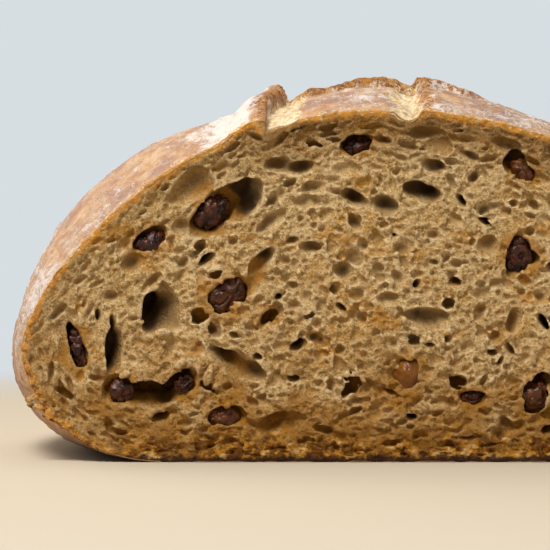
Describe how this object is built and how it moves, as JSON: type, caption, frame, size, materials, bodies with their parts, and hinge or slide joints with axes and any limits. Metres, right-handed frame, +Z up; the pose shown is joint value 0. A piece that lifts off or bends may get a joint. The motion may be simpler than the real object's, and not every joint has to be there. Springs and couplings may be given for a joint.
{
  "type": "raisin loaf",
  "caption": "Round hearth-baked raisin loaf cut straight across, with an open crumb, dark raisins in the cut face and a scored, torn crust on top.",
  "frame": {"origin": "under the middle of the whole piece, on the surface that the loaf stands on", "axes": "+X along the cut face to the right as it is looked at, +Y from the cut face back into the loaf, +Z up"},
  "size_m": [0.2346, 0.1656, 0.1147],
  "materials": {
    "bread": "matte",
    "raisin": "satin"
  },
  "bodies": {
    "root": {"loaf": "bread", "raisin_1": "raisin", "raisin_2": "raisin", "raisin_3": "raisin", "raisin_4": "raisin", "raisin_5": "raisin", "raisin_6": "raisin", "raisin_7": "raisin", "raisin_8": "raisin", "raisin_9": "raisin", "raisin_10": "raisin", "raisin_11": "raisin", "raisin_12": "raisin", "raisin_13": "raisin", "raisin_14": "raisin", "raisin_15": "raisin", "raisin_16": "raisin", "raisin_17": "raisin", "raisin_18": "raisin"}
  },
  "joints": []
}
